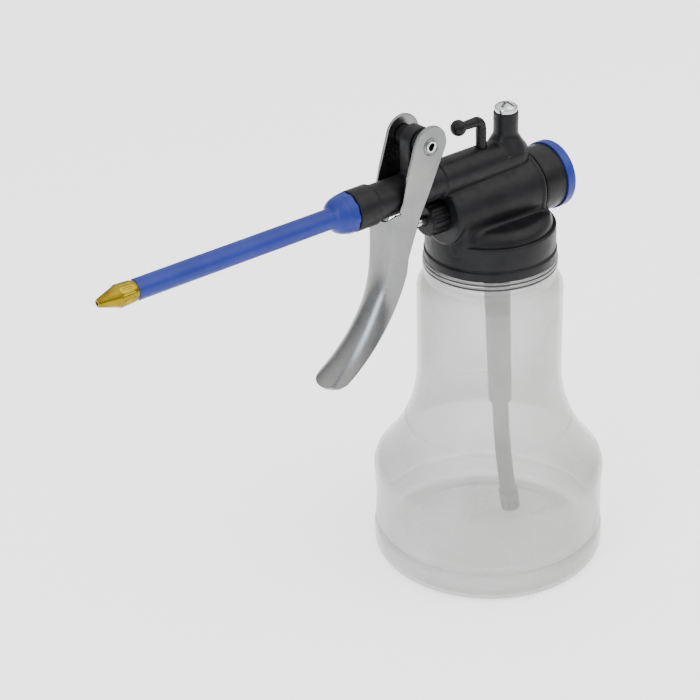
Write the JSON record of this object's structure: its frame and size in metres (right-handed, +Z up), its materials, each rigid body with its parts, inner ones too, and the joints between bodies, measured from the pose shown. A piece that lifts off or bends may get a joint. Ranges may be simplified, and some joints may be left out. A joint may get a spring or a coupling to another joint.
{
  "type": "handy oiler can",
  "caption": "Hand pump oiler: a clear flared bottle under a screw-on pump head with a squeeze trigger, a straight spout and a turned metal tip.",
  "frame": {"origin": "centre of the bottle's resting ring, on the surface it stands on", "axes": "+Z up along the bottle's axis, +X forwards along the spout, +Y to the can's left"},
  "size_m": [0.177, 0.075, 0.1583],
  "materials": {
    "bottle_plastic": "clear, slightly frosted moulded plastic",
    "black_plastic": "satin moulded plastic",
    "blue_plastic": "satin moulded plastic",
    "white_plastic": "translucent milky tube plastic",
    "steel": "bright plated",
    "zinc": "pressed sheet, zinc plated",
    "brass": "turned, bare",
    "spring_steel": "bare wire",
    "seal_rubber": "black rubber",
    "light_seal": "pale rubber washer"
  },
  "bodies": {
    "bottle": {"bottle": "bottle_plastic", "neck_ring_lower": "seal_rubber", "neck_ring_upper": "seal_rubber"},
    "gasket": {"neck_gasket": "light_seal"},
    "head": {"pump_head": "black_plastic", "end_cap": "black_plastic", "end_cap_disc": "blue_plastic", "end_cap_o_ring": "seal_rubber", "front_gland": "black_plastic", "rod_seal": "seal_rubber", "return_spring": "spring_steel", "valve_screw": "steel", "screw_washer": "steel", "outlet_valve_spring": "spring_steel", "inlet_valve_seat": "brass", "suction_sleeve": "white_plastic", "suction_tube": "white_plastic", "suction_strainer": "white_plastic", "spout": "blue_plastic", "spout_seal": "seal_rubber"},
    "trigger": {"trigger_lever": "zinc", "pivot_pin": "steel"},
    "pump_rod": {"piston_rod": "steel", "piston": "white_plastic", "piston_cup_seal": "seal_rubber"},
    "shutoff": {"shutoff_lever": "black_plastic", "shutoff_o_ring": "seal_rubber"},
    "outlet_ball": {"outlet_valve_ball": "steel"},
    "inlet_ball": {"inlet_valve_ball": "steel"},
    "nozzle": {"nozzle_tip": "brass"}
  },
  "joints": [
    {"name": "head_rise", "type": "slide", "parent": "bottle", "child": "gasket", "axis": [0, 0, 1], "range_m": [0, 0.0038]},
    {"name": "head_turn", "type": "hinge", "parent": "gasket", "child": "head", "pos_m": [0, 0, 0.112], "axis": [0, 0, 1], "range_deg": [0, 450]},
    {"name": "trigger_pivot", "type": "hinge", "parent": "head", "child": "trigger", "pos_m": [0.0293, 0, 0.1521], "axis": [0, 1, 0], "range_deg": [0, 22], "stiffness_Nm_per_rad": 0.4, "springref_deg": -10.89},
    {"name": "pump_rod_slide", "type": "slide", "parent": "head", "child": "pump_rod", "axis": [-1, 0, 0], "range_m": [0, 0.0102], "deforming": ["return_spring"]},
    {"name": "shutoff_turn", "type": "hinge", "parent": "head", "child": "shutoff", "pos_m": [0.0041, 0, 0.1406], "axis": [0, 0, 1], "range_deg": [0, 90]},
    {"name": "outlet_ball_lift", "type": "slide", "parent": "head", "child": "outlet_ball", "axis": [0, 0, 1], "range_m": [0, 0.0012], "stiffness_N_per_m": 100, "springref_m": -0.001, "deforming": ["outlet_valve_spring"]},
    {"name": "inlet_ball_lift", "type": "slide", "parent": "head", "child": "inlet_ball", "axis": [0.0454, 0, 0.999], "range_m": [0, 0.001]},
    {"name": "tip_turn", "type": "hinge", "parent": "head", "child": "nozzle", "pos_m": [0.1277, 0, 0.137], "axis": [1, 0, 0], "range_deg": [0, 180]}
  ],
  "couplings": [
    {"joint": "head_rise", "follows": "head_turn", "m_per_rad": 0.00047746},
    {"joint": "pump_rod_slide", "follows": "trigger_pivot", "m_per_rad": 0.026}
  ]
}
